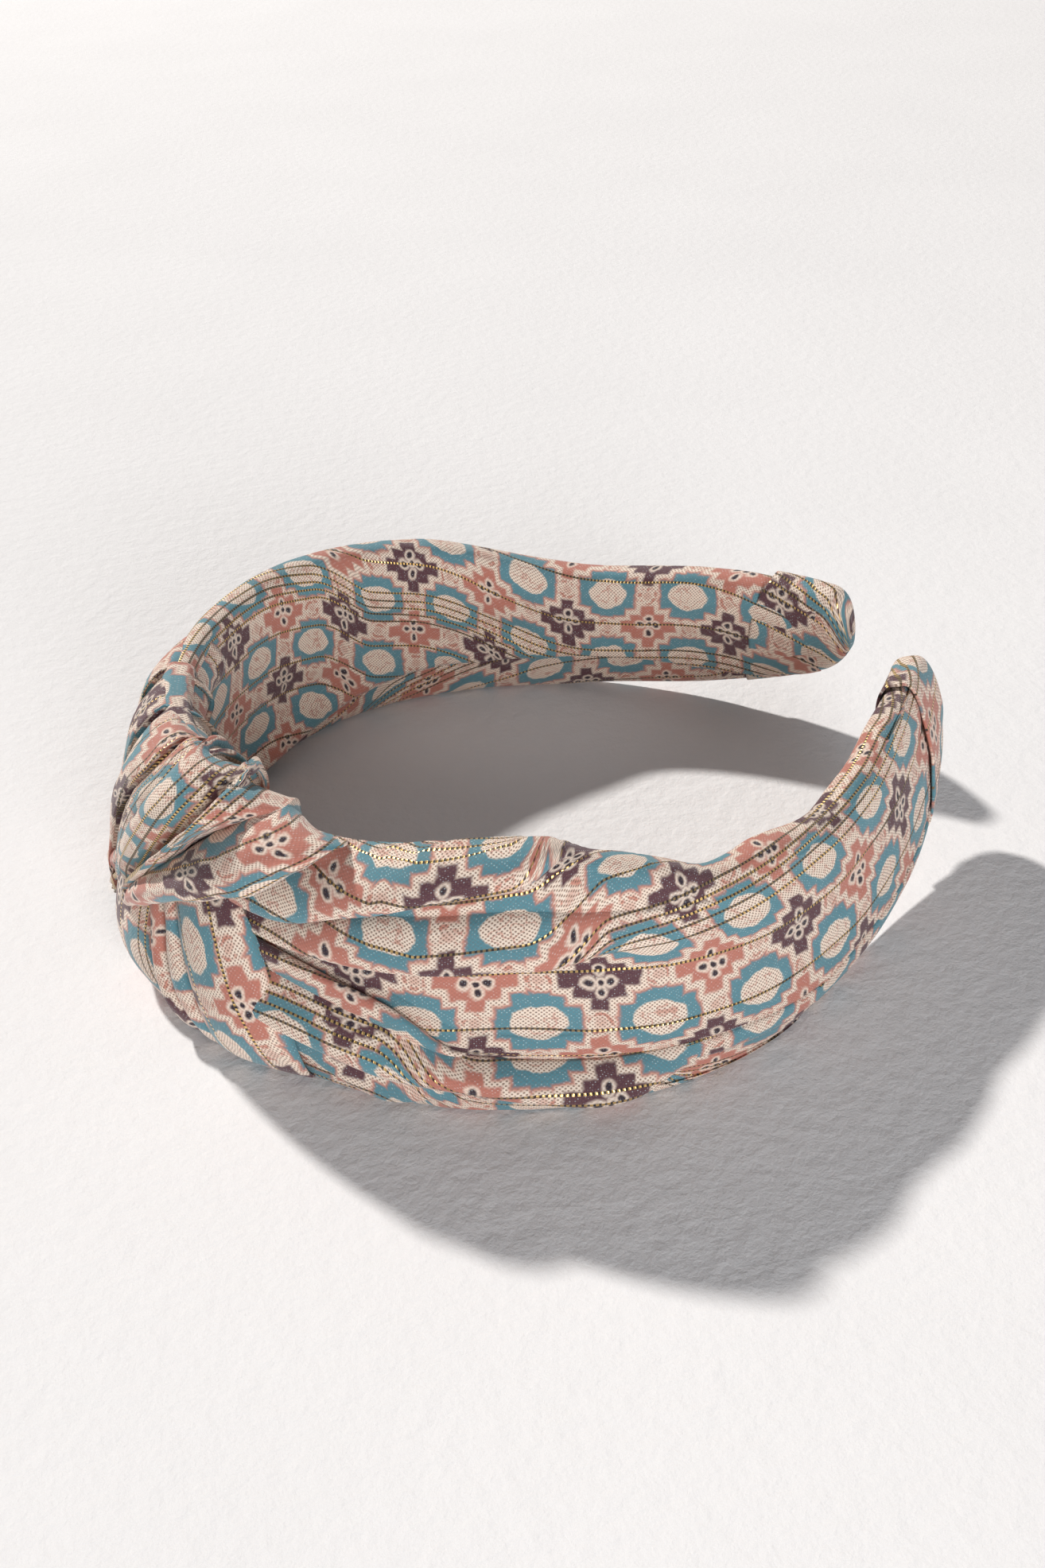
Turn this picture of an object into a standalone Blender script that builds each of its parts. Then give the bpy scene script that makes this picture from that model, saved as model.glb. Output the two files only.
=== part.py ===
"""Knotted headband: a hard hoop, padded and wrapped in printed cloth.

It lies on its lower edge on z = 0, with the knot at -X and its two open tips at +X.
The left arm is on the +Y side, the right arm on the -Y side. The band leans in towards its
top edge, so each flex line leans with it.
"""
import math

import bmesh
import bpy
import numpy as np

MM = 0.001

# --- the hoop's centreline -----------------------------------------------------------------
HALF_LENGTH = 200 * MM                 # along the centreline, crown to tip
BEND = ((0.0, 18.0), (0.25, 14.4), (0.5, 16.2), (0.75, 7.6), (1.0, 9.0))   # 1/m, crown to tip
CENTRE_X = 6.35 * MM                   # centreline's middle; the knot reaches further than the tips

# --- the band along the centreline: (share of the half length, value in mm or degrees) -----
HALF_WIDTH = ((0.0, 24.0), (0.2, 24.0), (0.45, 22.6), (0.7, 16.4), (0.88, 14.4), (1.0, 8.0))
HALF_THICK = ((0.0, 3.2), (0.25, 4.3), (0.7, 4.3), (1.0, 3.4))
LIFT = ((0.0, 0.0), (0.4, 0.0), (0.7, 2.2), (0.88, 8.8), (1.0, 20.5))
LEAN = ((0.0, 9.5), (0.5, 10.0), (1.0, 17.0))
SINK = 0.8 * MM                        # how far the lower edge is pressed flat

# --- layers --------------------------------------------------------------------------------
CLOTH = 0.8 * MM                       # wall of a wrapped cloth sleeve
LAP_STEP = 1.2 * MM                    # one cloth layer and the air under it
GAP = 0.35 * MM                        # air between neighbours
CORE_THICK = 1.6 * MM
CORE_SEAT = 0.52                       # core's inner face, as a share of the half thickness
CORE_SHARE = 0.74                      # core width, as a share of the band's
PAD_SHARE = 0.86                       # padding width, as a share of the band's
BOXINESS = 0.62                        # 1 is an ellipse, less is a flatter face

# --- split lines ---------------------------------------------------------------------------
FLEX_S = 56 * MM                       # arc length from the crown to each flex line
FLEX_GAP = 2.0 * MM                    # clearance at a flex line
SLEEVE_END = 0.965                     # shares of the half length
CORE_END = 0.955
CAP_START = 0.905
LAP_START = math.pi - 0.75             # section angle where the cloth starts, on the inner face
LAP_END = 3 * math.pi + 0.30           # section angle where it ends, one turn and a lap later

# --- the knot, over the crown: (arc length, up, outward, half width, half thickness) in mm --
RIGHT_LOOP = (
    (-47, 9.0, 7.2, 9.5, 2.2), (-34, 12.5, 8.6, 8.5, 2.6), (-18, 14.5, 10.0, 7.0, 2.6),
    (-3, 13.0, 12.2, 6.0, 2.4), (7, 5.5, 12.6, 6.0, 2.4), (9.5, -2.0, 9.6, 4.8, 2.1),
    (6, -10.0, 6.6, 5.6, 2.2), (-4, -14.5, 6.6, 5.8, 2.3), (-18, -14.5, 7.2, 6.6, 2.5),
    (-34, -13.0, 8.0, 7.5, 2.5), (-47, -10.5, 7.2, 8.0, 2.2),
)
LEFT_LOOP = (
    (47, 9.0, 7.2, 8.5, 2.2), (34, 9.0, 7.8, 7.5, 2.4), (20, 7.5, 7.4, 6.0, 2.3),
    (8, 7.2, 6.4, 4.2, 2.0), (-3, 4.6, 6.6, 3.4, 2.1), (-8.5, -0.5, 9.4, 3.7, 2.3),
    (-3, -5.4, 12.4, 3.4, 2.2), (8, -7.5, 12.9, 4.4, 2.2), (20, -8.5, 10.4, 6.0, 2.5),
    (34, -9.5, 8.4, 7.0, 2.5), (47, -10.0, 7.2, 8.0, 2.2),
)
THREAD_RADIUS = 0.3 * MM
THREAD_MARGIN = 3 * MM                  # a row of stitches stops this short of a body's end
THREAD_INSET = 0.22                     # angle between the lap's edge and its stitches
LAP_CLIMB = 0.15                        # angle over which the lap steps up, short of its start
PAD_BACK = 0.3 * MM                     # thickness of the pad's flat back before it rounds
PAD_BACK_SHARE = 0.92                   # width of that back, as a share of the pad's

SPINE_STEPS = 400
ARM_STATIONS = 22
CROWN_STATIONS = 14
SECTION_POINTS = 26

CLOTH_COLOUR = (0.30, 0.24, 0.24, 1)
CLOTH_DARK = (0.09, 0.24, 0.31, 1)
CORE_COLOUR = (0.03, 0.03, 0.03, 1)
FOAM_COLOUR = (0.80, 0.78, 0.72, 1)
THREAD_COLOUR = (0.10, 0.26, 0.33, 1)


def smooth(table, share):
    """Value of a station table at a share of the half length, on a smooth curve."""
    xs = np.array([row[0] for row in table], float)
    ys = np.array([row[1] for row in table], float)
    slopes = np.gradient(ys, xs)
    share = float(np.clip(share, xs[0], xs[-1]))
    i = int(np.clip(np.searchsorted(xs, share) - 1, 0, len(xs) - 2))
    step = xs[i + 1] - xs[i]
    t = (share - xs[i]) / step
    start = ys[i] * (2 * t**3 - 3 * t**2 + 1) + slopes[i] * step * (t**3 - 2 * t**2 + t)
    end = ys[i + 1] * (3 * t**2 - 2 * t**3) + slopes[i + 1] * step * (t**3 - t**2)
    return start + end


def make_spine():
    """Arc length, x, y and heading of the left half of the centreline."""
    arc = np.linspace(0, HALF_LENGTH, SPINE_STEPS)
    bend = np.array([smooth(BEND, s / HALF_LENGTH) for s in arc])
    turn = np.concatenate([[0], np.cumsum((bend[1:] + bend[:-1]) / 2 * np.diff(arc))])
    x = np.concatenate([[0], np.cumsum((np.sin(turn)[1:] + np.sin(turn)[:-1]) / 2 * np.diff(arc))])
    y = np.concatenate([[0], np.cumsum((np.cos(turn)[1:] + np.cos(turn)[:-1]) / 2 * np.diff(arc))])
    return arc, x - x.max() / 2 + CENTRE_X, y, turn


SPINE = make_spine()


def centre(s):
    """Centreline point and outward normal, in plan, at signed arc length s (+ is left)."""
    arc, x, y, turn = SPINE
    side = 1 if s >= 0 else -1
    heading = np.interp(abs(s), arc, turn)
    point = np.array([np.interp(abs(s), arc, x), side * np.interp(abs(s), arc, y)])
    return point, np.array([-math.cos(heading), side * math.sin(heading)])


def band_axes(s):
    """Middle of the band at s, its outward direction and its upward direction, in space."""
    point, normal = centre(s)
    share = abs(s) / HALF_LENGTH
    lean = math.radians(smooth(LEAN, share))
    half_width = smooth(HALF_WIDTH, share) * MM
    middle_z = smooth(LIFT, share) * MM - SINK + half_width * math.cos(lean)
    outward = np.array([*(normal * math.cos(lean)), math.sin(lean)])
    upward = np.array([*(-normal * math.sin(lean)), math.cos(lean)])
    return np.array([*point, middle_z]), outward, upward


def oval(angle, half_thick, half_width):
    """Point of a flat-faced oval: outward and upward from its middle."""
    c, s = math.cos(angle), math.sin(angle)
    bend = BOXINESS
    return half_thick * math.copysign(abs(c)**bend, c), half_width * math.copysign(abs(s)**bend, s)


def on_band(s, out, up, floor=0.0):
    """World point on the band's section at s, kept above the floor."""
    middle, outward, upward = band_axes(s)
    point = middle + outward * out + upward * up
    point[2] = max(point[2], floor)
    return point


def section_size(s):
    share = abs(s) / HALF_LENGTH
    return smooth(HALF_THICK, share) * MM, smooth(HALF_WIDTH, share) * MM


def material(name, colour, roughness):
    mat = bpy.data.materials.new(name)
    mat.use_nodes = True
    shader = mat.node_tree.nodes["Principled BSDF"]
    shader.inputs["Base Color"].default_value = colour
    shader.inputs["Roughness"].default_value = roughness
    shader.inputs["Metallic"].default_value = 0.0
    return mat


def add_mesh(name, points, faces, mat, parent):
    mesh = bpy.data.meshes.new(name)
    mesh.from_pydata([tuple(p) for p in points], [], faces)
    face_outwards(mesh)
    mesh.materials.append(mat)
    mesh.shade_smooth()
    mesh.set_sharp_from_angle(angle=math.radians(50))
    obj = bpy.data.objects.new(name, mesh)
    PART.objects.link(obj)
    attach(obj, parent)
    return obj


def face_outwards(mesh):
    bm = bmesh.new()
    bm.from_mesh(mesh)
    bmesh.ops.recalc_face_normals(bm, faces=bm.faces)
    bm.to_mesh(mesh)
    bm.free()


def attach(obj, parent):
    """Parent without moving: the object keeps its world place."""
    obj.parent = parent
    obj.matrix_parent_inverse = parent.matrix_world.inverted()


def bridge(ring_a, ring_b, count):
    """Quads between two closed rings of the same count."""
    quads = []
    for i in range(count):
        j = (i + 1) % count
        quads.append((ring_a + i, ring_a + j, ring_b + j, ring_b + i))
    return quads


def loft(name, rings, mat, parent, strip_caps=False):
    """Closed solid through rings of equal count. Strip caps close a thin C-shaped section."""
    count = len(rings[0])
    points = [p for ring in rings for p in ring]
    faces = []
    for k in range(len(rings) - 1):
        faces += bridge(k * count, (k + 1) * count, count)
    last = (len(rings) - 1) * count
    for first in (0, last):
        if strip_caps:
            faces += [(first + i, first + i + 1, first + count - 2 - i, first + count - 1 - i)
                      for i in range(count // 2 - 1)]
        else:
            faces.append(tuple(first + i for i in range(count)))
    return add_mesh(name, points, faces, mat, parent)


def core_ring(s):
    """The hard core: a thin strip near the band's inner face."""
    half_thick, half_width = section_size(s)
    inner = -half_thick * CORE_SEAT
    reach = half_width * CORE_SHARE
    bevel = CORE_THICK / 3
    corners = [
        (inner + CORE_THICK, -reach + bevel), (inner + CORE_THICK, reach - bevel),
        (inner + CORE_THICK - bevel, reach), (inner + bevel, reach),
        (inner, reach - bevel), (inner, -reach + bevel),
        (inner + bevel, -reach), (inner + CORE_THICK - bevel, -reach),
    ]
    return [on_band(s, out, up) for out, up in corners]


def pad_ring(s, count=16):
    """The padding: a crowned strip on the core's outer face."""
    half_thick, half_width = section_size(s)
    back = -half_thick * CORE_SEAT + CORE_THICK + GAP
    reach = half_width * PAD_SHARE
    crown = half_thick - CLOTH - GAP
    ring = [(back, -reach * PAD_BACK_SHARE)]
    for k in range(count):
        angle = math.pi * (k / (count - 1) - 0.5)
        out, up = oval(angle, crown - back - PAD_BACK, reach)
        ring.append((back + PAD_BACK + out, up))
    ring.append((back, reach * PAD_BACK_SHARE))
    return [on_band(s, out, up) for out, up in ring]


def lap_offset(angle):
    """How far the wrap has climbed onto its own first layer at a section angle."""
    climb_from = 2.5 * math.pi
    climb_to = LAP_START + 2 * math.pi - LAP_CLIMB
    t = float(np.clip((angle - climb_from) / (climb_to - climb_from), 0, 1))
    return LAP_STEP * t * t * (3 - 2 * t)


def wrap_ring(s):
    """Cloth wrapped once round the band, with its edge lapped on the inner face."""
    half_thick, half_width = section_size(s)
    outer, inner = [], []
    for angle in np.linspace(LAP_START, LAP_END, SECTION_POINTS):
        offset = lap_offset(angle)
        out, up = oval(angle, half_thick + offset, half_width + offset)
        outer.append(on_band(s, out, up))
        out, up = oval(angle, half_thick + offset - CLOTH, half_width + offset - CLOTH)
        inner.append(on_band(s, out, up, floor=CLOTH))
    return outer + inner[::-1]


def loop_rings(table, steps, count=16):
    """Oval rings along a knot strand whose stations are given in mm over the crown."""
    rows = np.array(table, float) * MM
    marks = np.linspace(0, 1, len(rows))
    columns = [list(zip(marks, rows[:, c])) for c in range(rows.shape[1])]
    rows = np.array([[smooth(column, place) for column in columns] for place in np.linspace(0, 1, steps)])
    points = np.array([on_band(s, out, up) for s, up, out, _, _ in rows])
    along = np.gradient(points, axis=0)
    along /= np.linalg.norm(along, axis=1)[:, None]
    rings = []
    for row, middle, forward in zip(rows, points, along):
        across = np.cross(forward, band_axes(row[0])[1])
        across /= np.linalg.norm(across)
        outward = np.cross(across, forward)
        ring = []
        for k in range(count):
            angle = 2 * math.pi * k / count
            ring.append(middle + across * (row[3] * math.cos(angle)) + outward * (row[4] * math.sin(angle)))
        rings.append(ring)
    return rings


def band_piece(name, ring_of, start, end, count, mat, parent, strip_caps=False):
    """Loft a band section between two arc lengths."""
    rings = [ring_of(s) for s in np.linspace(start, end, count)]
    return loft(name, rings, mat, parent, strip_caps=strip_caps)


def tip_cap(name, side, mat, parent):
    """Cloth cap over a tip: an open surface closed at its end, with Solidify for its wall."""
    count = 24
    start = CAP_START * HALF_LENGTH
    straight_end = SLEEVE_END * HALF_LENGTH
    end = HALF_LENGTH
    rings = []
    for s in np.linspace(start, straight_end, 5):
        rings.append((s, 1.0))
    for k in range(1, 5):
        turn = math.pi / 2 * k / 5
        rings.append((straight_end + (end - straight_end) * math.sin(turn), math.cos(turn)))
    points = []
    clear = LAP_STEP + GAP
    for s, share in rings:
        half_thick, half_width = section_size(s)
        for k in range(count):
            out, up = oval(2 * math.pi * k / count, half_thick + clear, half_width + clear)
            points.append(on_band(side * s, out * share, up * share))
    points.append(on_band(side * end, 0, 0))
    faces = []
    for k in range(len(rings) - 1):
        faces += bridge(k * count, (k + 1) * count, count)
    last = (len(rings) - 1) * count
    for i in range(count):
        faces.append((last + i, last + (i + 1) % count, len(points) - 1))
    cap = add_mesh(name, points, faces, mat, parent)
    wall = cap.modifiers.new("wall", "SOLIDIFY")
    wall.thickness = CLOTH
    wall.offset = 1.0
    return cap


def thread(name, start, end, count, mat, parent):
    """Slip-stitch thread along the edge of the lap, on the inner face."""
    curve = bpy.data.curves.new(name, "CURVE")
    curve.dimensions = "3D"
    curve.bevel_depth = THREAD_RADIUS
    curve.bevel_resolution = 2
    curve.use_fill_caps = True
    curve.resolution_u = 1
    curve.render_resolution_u = 1
    spline = curve.splines.new("POLY")
    spline.points.add(count - 1)
    for k, s in enumerate(np.linspace(start, end, count)):
        half_thick, half_width = section_size(s)
        angle = LAP_END - 2 * math.pi + THREAD_INSET
        clear = THREAD_RADIUS + GAP
        out, up = oval(angle, half_thick + clear, half_width)
        place = on_band(s, out, up)
        spline.points[k].co = (*place, 1.0)
    curve.materials.append(mat)
    obj = bpy.data.objects.new(name, curve)
    PART.objects.link(obj)
    attach(obj, parent)
    return obj


def empty(name, place):
    obj = bpy.data.objects.new(name, None)
    obj.empty_display_size = 10 * MM
    obj.location = place
    PART.objects.link(obj)
    return obj


for old in list(bpy.data.objects):
    bpy.data.objects.remove(old, do_unlink=True)

PART = bpy.data.collections.new("headband")
bpy.context.scene.collection.children.link(PART)


def build():
    cloth = material("printed_cloth", CLOTH_COLOUR, 0.8)
    cloth_dark = material("printed_cloth_teal", CLOTH_DARK, 0.8)
    plastic = material("hoop_plastic", CORE_COLOUR, 0.5)
    foam = material("pad_foam", FOAM_COLOUR, 0.95)
    sewing = material("sewing_thread", THREAD_COLOUR, 0.7)

    crown = empty("crown", on_band(0, 0, 0))
    flex = {side: empty(name, on_band(side * FLEX_S, 0, 0))
            for side, name in ((1, "left_flex"), (-1, "right_flex"))}
    bpy.context.view_layer.update()

    near_flex = FLEX_S - FLEX_GAP / 2
    past_flex = FLEX_S + FLEX_GAP / 2
    core_end = CORE_END * HALF_LENGTH
    sleeve_end = SLEEVE_END * HALF_LENGTH

    band_piece("hoop_crown", core_ring, -near_flex, near_flex, CROWN_STATIONS, plastic, crown)
    band_piece("padding_crown", pad_ring, -near_flex, near_flex, CROWN_STATIONS, foam, crown)
    band_piece("crown_sleeve", wrap_ring, -near_flex, near_flex, CROWN_STATIONS, cloth_dark, crown,
               strip_caps=True)
    thread("crown_lap_thread", -near_flex + THREAD_MARGIN, near_flex - THREAD_MARGIN, 24, sewing, crown)
    loft("knot_right_loop", loop_rings(RIGHT_LOOP, 34), cloth, crown)
    loft("knot_left_loop", loop_rings(LEFT_LOOP, 34), cloth_dark, crown)

    for side, name in ((1, "left"), (-1, "right")):
        parent = flex[side]
        start = side * past_flex
        band_piece(f"hoop_{name}_arm", core_ring, start, side * core_end, ARM_STATIONS, plastic, parent)
        band_piece(f"padding_{name}_arm", pad_ring, start, side * core_end, ARM_STATIONS, foam, parent)
        band_piece(f"{name}_sleeve", wrap_ring, start, side * sleeve_end, ARM_STATIONS, cloth, parent,
                   strip_caps=True)
        tip_cap(f"{name}_tip_cap", side, cloth_dark, parent)
        thread(f"{name}_lap_thread", side * (past_flex + THREAD_MARGIN),
               side * (CAP_START * HALF_LENGTH - THREAD_MARGIN), 36, sewing, parent)


build()
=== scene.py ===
"""Looks of the knotted headband: printed cloth sleeves, pleats, turban knot and tip wraps."""
import math

import bmesh
import bpy
import numpy as np
from mathutils import Matrix, Vector


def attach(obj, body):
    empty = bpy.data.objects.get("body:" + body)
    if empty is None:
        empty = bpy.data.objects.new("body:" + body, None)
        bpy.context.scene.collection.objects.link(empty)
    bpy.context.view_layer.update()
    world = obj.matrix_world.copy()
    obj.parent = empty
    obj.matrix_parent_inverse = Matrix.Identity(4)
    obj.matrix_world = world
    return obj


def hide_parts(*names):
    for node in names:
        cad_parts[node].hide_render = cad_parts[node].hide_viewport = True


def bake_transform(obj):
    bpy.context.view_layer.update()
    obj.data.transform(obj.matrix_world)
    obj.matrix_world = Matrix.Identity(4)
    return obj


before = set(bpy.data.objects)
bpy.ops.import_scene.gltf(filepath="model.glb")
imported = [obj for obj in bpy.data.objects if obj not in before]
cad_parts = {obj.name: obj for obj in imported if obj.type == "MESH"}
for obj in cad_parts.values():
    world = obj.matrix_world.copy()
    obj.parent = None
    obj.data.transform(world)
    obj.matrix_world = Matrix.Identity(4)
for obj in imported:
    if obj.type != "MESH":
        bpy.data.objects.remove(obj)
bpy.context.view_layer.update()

MM = 0.001
BODIES = {1: "left_arm", -1: "right_arm"}

# --- the band, as in the CAD model ---------------------------------------------------------------
HALF_LENGTH = 200 * MM
BEND = ((0.0, 18.0), (0.25, 14.4), (0.5, 16.2), (0.75, 7.6), (1.0, 9.0))
CENTRE_X = 6.35 * MM
HALF_WIDTH = ((0.0, 24.0), (0.2, 24.0), (0.45, 22.6), (0.7, 16.4), (0.88, 14.4), (1.0, 8.0))
HALF_THICK = ((0.0, 3.2), (0.25, 4.3), (0.7, 4.3), (1.0, 3.4))
LIFT = ((0.0, 0.0), (0.4, 0.0), (0.7, 2.2), (0.88, 8.8), (1.0, 20.5))
LEAN = ((0.0, 9.5), (0.5, 10.0), (1.0, 17.0))
SINK = 0.8 * MM
BOXINESS = 0.62
FLEX_S = 56 * MM
BLEND_REACH = 13 * MM
FLOOR_GAP = 0.6 * MM


# --- band geometry -------------------------------------------------------------------------------
def smooth(table, places):
    """Values of a station table at places, on a smooth curve; rows may hold several values."""
    table = np.array(table, float)
    xs, ys = table[:, 0], table[:, 1:]
    slopes = np.gradient(ys, xs, axis=0)
    places = np.clip(np.atleast_1d(np.asarray(places, float)), xs[0], xs[-1])
    i = np.clip(np.searchsorted(xs, places) - 1, 0, len(xs) - 2)
    step = (xs[i + 1] - xs[i])[:, None]
    t = (places - xs[i])[:, None] / step
    start = ys[i] * (2 * t**3 - 3 * t**2 + 1) + slopes[i] * step * (t**3 - 2 * t**2 + t)
    end = ys[i + 1] * (3 * t**2 - 2 * t**3) + slopes[i + 1] * step * (t**3 - t**2)
    return start + end


def make_spine():
    arc = np.linspace(0, HALF_LENGTH, 400)
    bend = smooth(BEND, arc / HALF_LENGTH)[:, 0]
    half_step = np.diff(arc) / 2
    turn = np.concatenate([[0], np.cumsum((bend[1:] + bend[:-1]) * half_step)])
    x = np.concatenate([[0], np.cumsum((np.sin(turn)[1:] + np.sin(turn)[:-1]) * half_step)])
    y = np.concatenate([[0], np.cumsum((np.cos(turn)[1:] + np.cos(turn)[:-1]) * half_step)])
    return arc, x - x.max() / 2 + CENTRE_X, y, turn


SPINE = make_spine()


def band_axes(s):
    """Middle, outward and upward directions of the band at signed arc lengths s (+ is left)."""
    s = np.asarray(s, float)
    arc, x, y, turn = SPINE
    side = np.where(s >= 0, 1.0, -1.0)
    heading = np.interp(abs(s), arc, turn)
    normal = np.stack([-np.cos(heading), side * np.sin(heading)], -1)
    share = (abs(s) / HALF_LENGTH).ravel()
    lean = np.radians(smooth(LEAN, share)[:, 0]).reshape(s.shape)
    half_width = smooth(HALF_WIDTH, share)[:, 0].reshape(s.shape) * MM
    lift = smooth(LIFT, share)[:, 0].reshape(s.shape) * MM
    middle_z = lift - SINK + half_width * np.cos(lean)
    over = np.maximum(abs(s) - HALF_LENGTH, 0)
    tangent = np.stack([np.sin(heading), side * np.cos(heading)], -1)
    plan = np.stack([np.interp(abs(s), arc, x), side * np.interp(abs(s), arc, y)], -1)
    plan = plan + tangent * over[..., None]
    outward = np.concatenate([normal * np.cos(lean)[..., None], np.sin(lean)[..., None]], -1)
    upward = np.concatenate([-normal * np.sin(lean)[..., None], np.cos(lean)[..., None]], -1)
    return np.concatenate([plan, middle_z[..., None]], -1), outward, upward


def on_band(s, out, up):
    """World points on the band, kept just above the floor."""
    middle, outward, upward = band_axes(s)
    points = middle + outward * np.asarray(out)[..., None] + upward * np.asarray(up)[..., None]
    points[..., 2] = np.maximum(points[..., 2], FLOOR_GAP)
    return points


RING_ANGLES = np.linspace(-1.5 * math.pi, 3.5 * math.pi, 1500)


def outline(s):
    """Oval outline at s: running length from the lower edge, outward, upward, edge normals."""
    share = abs(s) / HALF_LENGTH
    half_thick = smooth(HALF_THICK, share)[0, 0] * MM
    half_width = smooth(HALF_WIDTH, share)[0, 0] * MM
    c, n = np.cos(RING_ANGLES), np.sin(RING_ANGLES)
    out = half_thick * np.sign(c) * abs(c)**BOXINESS
    up = half_width * np.sign(n) * abs(n)**BOXINESS
    length = np.concatenate([[0], np.cumsum(np.hypot(np.diff(out), np.diff(up)))])
    length -= np.interp(-0.5 * math.pi, RING_ANGLES, length)
    d_out, d_up = np.gradient(out), np.gradient(up)
    size = np.maximum(np.hypot(d_out, d_up), 1e-12)
    return length, out, up, d_up / size, -d_out / size


# --- meshes --------------------------------------------------------------------------------------
def grid_mesh(name, points, uv, mat, wall=0.0):
    """Cloth sheet over a grid of points, with its own cloth coordinates in metres."""
    rows, cols = points.shape[:2]
    index = np.arange(rows * cols).reshape(rows, cols)
    corners = (index[:-1, :-1], index[1:, :-1], index[1:, 1:], index[:-1, 1:])
    quads = np.stack(corners, -1).reshape(-1, 4)
    mesh = bpy.data.meshes.new(name)
    mesh.from_pydata(points.reshape(-1, 3).tolist(), [], quads.tolist())
    layer = mesh.uv_layers.new(name="cloth")
    layer.data.foreach_set("uv", uv.reshape(-1, 2)[quads.ravel()].ravel())
    mesh.materials.append(mat)
    mesh.shade_smooth()
    mesh.update()
    obj = bpy.data.objects.new(name, mesh)
    bpy.context.scene.collection.objects.link(obj)
    if wall:
        thick = obj.modifiers.new("wall", "SOLIDIFY")
        thick.thickness = wall
        thick.offset = 1.0
        thick.use_quality_normals = True
    apply_modifiers(obj)
    return obj


def apply_modifiers(obj):
    bpy.context.view_layer.update()
    graph = bpy.context.evaluated_depsgraph_get()
    final = bpy.data.meshes.new_from_object(obj.evaluated_get(graph))
    old = obj.data
    obj.modifiers.clear()
    obj.data = final
    bpy.data.meshes.remove(old)
    obj.data.name = obj.name


def ripple(a, b, seed, strength, lengths=((60, 9), (34, 13), (22, 7), (90, 17))):
    """Soft shallow wrinkles, mostly running along a; a, b and the result in metres."""
    rng = np.random.default_rng(seed)
    total = np.zeros_like(a)
    for along, across in lengths:
        phase = rng.uniform(0, 2 * math.pi, 3)
        wander = np.sin(a / (along * 1.7 * MM) * 2 * math.pi + phase[2]) * 1.2
        wave_a = a / (along * MM) * 2 * math.pi + phase[0]
        wave_b = b / (across * MM) * 2 * math.pi + phase[1] + wander
        total += np.sin(wave_b) * (0.6 + 0.4 * np.sin(wave_a))
    return total * strength / len(lengths)


def rise(value, low, high):
    t = np.clip((np.asarray(value, float) - low) / (high - low), 0, 1)
    return t * t * (3 - 2 * t)


# --- sleeves: one width of cloth wrapped round the band, with lapped pleats ----------------------
# A pleat's section, from below its edge to above it: (across, lifted) in mm. The cloth runs under
# the edge, turns back, rounds the edge and settles down again.
PLEAT = np.array((
    (-3.0, 0.0), (-1.6, -0.05), (-0.4, -0.15), (0.9, -0.1), (2.0, 0.0), (2.6, 0.3), (2.1, 0.62),
    (1.0, 0.7), (0.1, 0.8), (-0.5, 1.1), (-0.7, 1.6), (-0.35, 2.1), (0.5, 2.4), (1.8, 2.45),
    (3.6, 2.1), (5.8, 1.3), (8.4, 0.4),
)) * MM
PLEAT_ROOM = 11 * MM
LEAST_ROOM = 0.1 * MM

# Pleats of a sleeve's outer face, lower to upper: +1 if the upper cloth laps over the lower, size,
# hidden cloth in mm, fade (arc lengths between which it dies out, mm), path (arc length, up) in mm.
RIGHT_PLEATS = (
    (1, 0.8, 5, (56, 70),
     ((20, -14), (42, -16.5), (49, -18.4), (55, -20.6), (60, -21.6), (80, -21.8))),
    (1, 2.2, 9, (86, 108),
     ((20, -6), (42, -8.8), (50, -9.6), (57, -11), (69, -11.8), (80, -14.3), (96, -17.5))),
    (-1, 1.1, 8, (60, 76),
     ((20, 2), (42, 1.4), (49, 0), (54, -1.4), (58, -2.8), (62, -5.4), (66, -8), (76, -9.5))),
    (1, 1.1, 9, (78, 100),
     ((20, 4), (46, 4), (57.5, 5), (65, 6), (76, 7.4), (89, 6.6), (100, 6))),
    (1, 1.5, 7, (76, 92),
     ((20, 9), (42, 10), (51.7, 14.5), (56, 15.9), (62.6, 18.2), (70, 20), (79, 21.2), (92, 21.8))),
)
LEFT_PLEATS = (
    (1, 0.8, 6, (62, 84), ((20, -15), (45, -16), (60, -17.5), (84, -19))),
    (1, 1.2, 8, (78, 104), ((20, -7), (45, -8.4), (60, -9.5), (80, -12), (104, -15))),
    (-1, 0.8, 7, (60, 80), ((20, 0), (45, 0.4), (60, -1.5), (80, -4))),
    (1, 0.8, 8, (72, 100), ((20, 7), (45, 8.5), (60, 9.5), (80, 10.5), (104, 10))),
)
# The rows of PLEAT where the cloth doubles back, which take up the hidden cloth, and where along
# the band, in mm, that cloth runs out.
DOUBLED = (3, 9)
HIDDEN_FADE = (44, 140)
COLUMN_STEP = 0.9 * MM
ROW_STEP = 1.1 * MM
TYPICAL_SHARE = 0.35
SLEEVE_START = 17 * MM
SLEEVE_END = 193 * MM
CLOTH_WALL = 0.4 * MM
LAP_STEP = 0.9 * MM

# Share of the inner face that the upper flap covers, by share of the half length.
UPPER_FLAP = (
    (0.0, 0.84), (0.25, 0.86), (0.38, 0.76), (0.55, 0.66), (0.75, 0.62), (0.88, 0.80), (1.0, 0.98),
)
LAP_GAPE = ((0, 0.4), (45, 2.2), (70, 2.4), (100, 0.9), (130, 1.4), (165, 0.5), (200, 0.2))
LAP_OVERLAP = 7 * MM
LAP_EDGE = 9 * MM
SLEEVE_RIPPLE = 0.45 * MM
# The print leans by this much where it passes the foot of the anchor pleat.
PRINT_LEAN = 3.8 * MM
LEAN_ZONE = (4 * MM, 14 * MM)

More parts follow.
